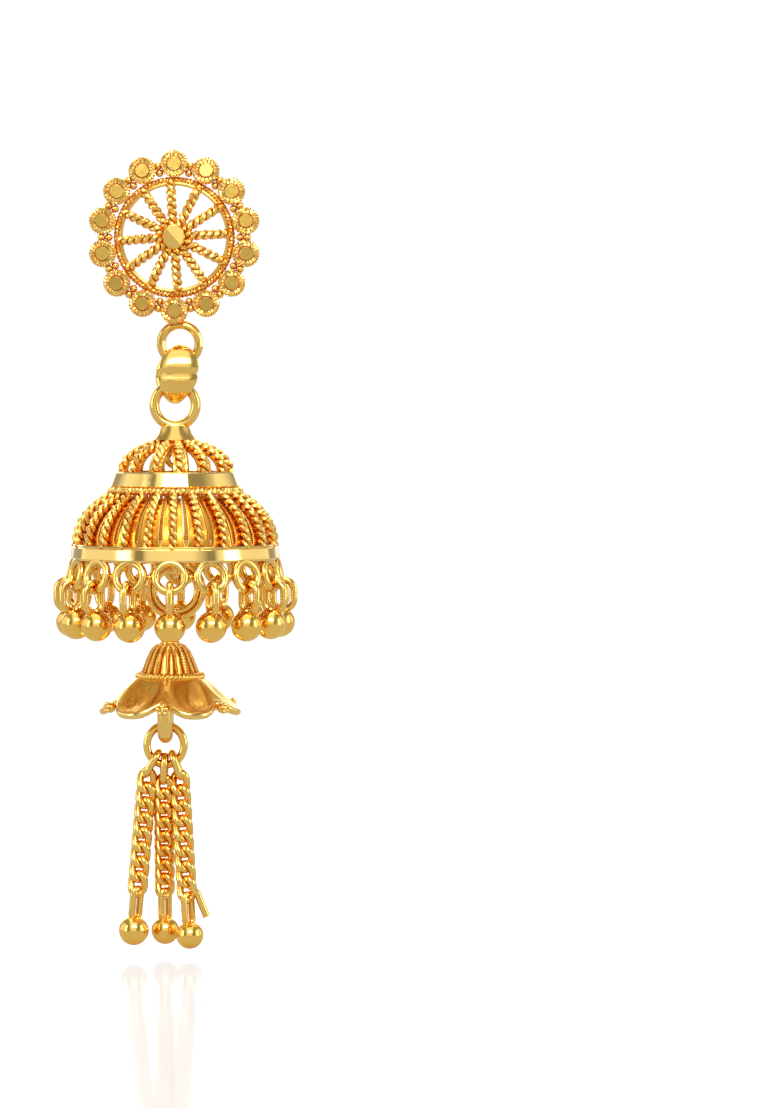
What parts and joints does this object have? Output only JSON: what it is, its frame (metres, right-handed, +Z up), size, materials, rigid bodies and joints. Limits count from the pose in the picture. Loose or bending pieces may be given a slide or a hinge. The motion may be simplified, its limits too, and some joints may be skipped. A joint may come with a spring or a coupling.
{
  "type": "jhumka earring",
  "caption": "Gold drop earring: pierced rosette stud, openwork bell with a fringe of small balls, and a flower cap with short ball chains.",
  "frame": {"origin": "root of the ear post, where it leaves the rosette's back", "axes": "+Z up along the hanging earring, -Y towards the viewer in front, +Y into the ear lobe, +X to the right seen from the front"},
  "size_m": [0.02, 0.0205, 0.066],
  "materials": {
    "polished_gold": "polished yellow gold",
    "rope_gold": "twisted yellow gold wire, bright with deep orange hollows",
    "cast_gold": "cast yellow gold, soft polish",
    "post_gold": "plain yellow gold"
  },
  "bodies": {
    "stud": {"rosette": "rope_gold", "ear_post": "post_gold"},
    "link": {"connector": "cast_gold"},
    "bell_body": {"bell": "rope_gold", "drop_01": "polished_gold", "drop_02": "polished_gold", "drop_03": "polished_gold", "drop_04": "polished_gold", "drop_05": "polished_gold", "drop_06": "polished_gold", "drop_07": "polished_gold", "drop_08": "polished_gold", "drop_09": "polished_gold", "drop_10": "polished_gold", "drop_11": "polished_gold", "drop_12": "polished_gold", "drop_13": "polished_gold", "drop_14": "polished_gold", "drop_15": "polished_gold", "drop_16": "polished_gold"},
    "tassel": {"inner_ring": "polished_gold", "flower_cap": "polished_gold", "chain_ring": "polished_gold", "chain_left": "polished_gold", "chain_middle": "polished_gold", "chain_right": "polished_gold"}
  },
  "joints": [
    {"name": "side_swing", "type": "hinge", "parent": "stud", "child": "link", "pos_m": [0.00042, 0, -0.0087], "axis": [0, 1, 0], "range_deg": [-25, 25]},
    {"name": "bell_swing", "type": "hinge", "parent": "link", "child": "bell_body", "pos_m": [0, 0, -0.01207], "axis": [1, 0, 0], "range_deg": [-22, 22]},
    {"name": "tassel_swing", "type": "hinge", "parent": "bell_body", "child": "tassel", "pos_m": [0, 0, -0.02699], "axis": [1, 0, 0], "range_deg": [-22, 22]}
  ]
}
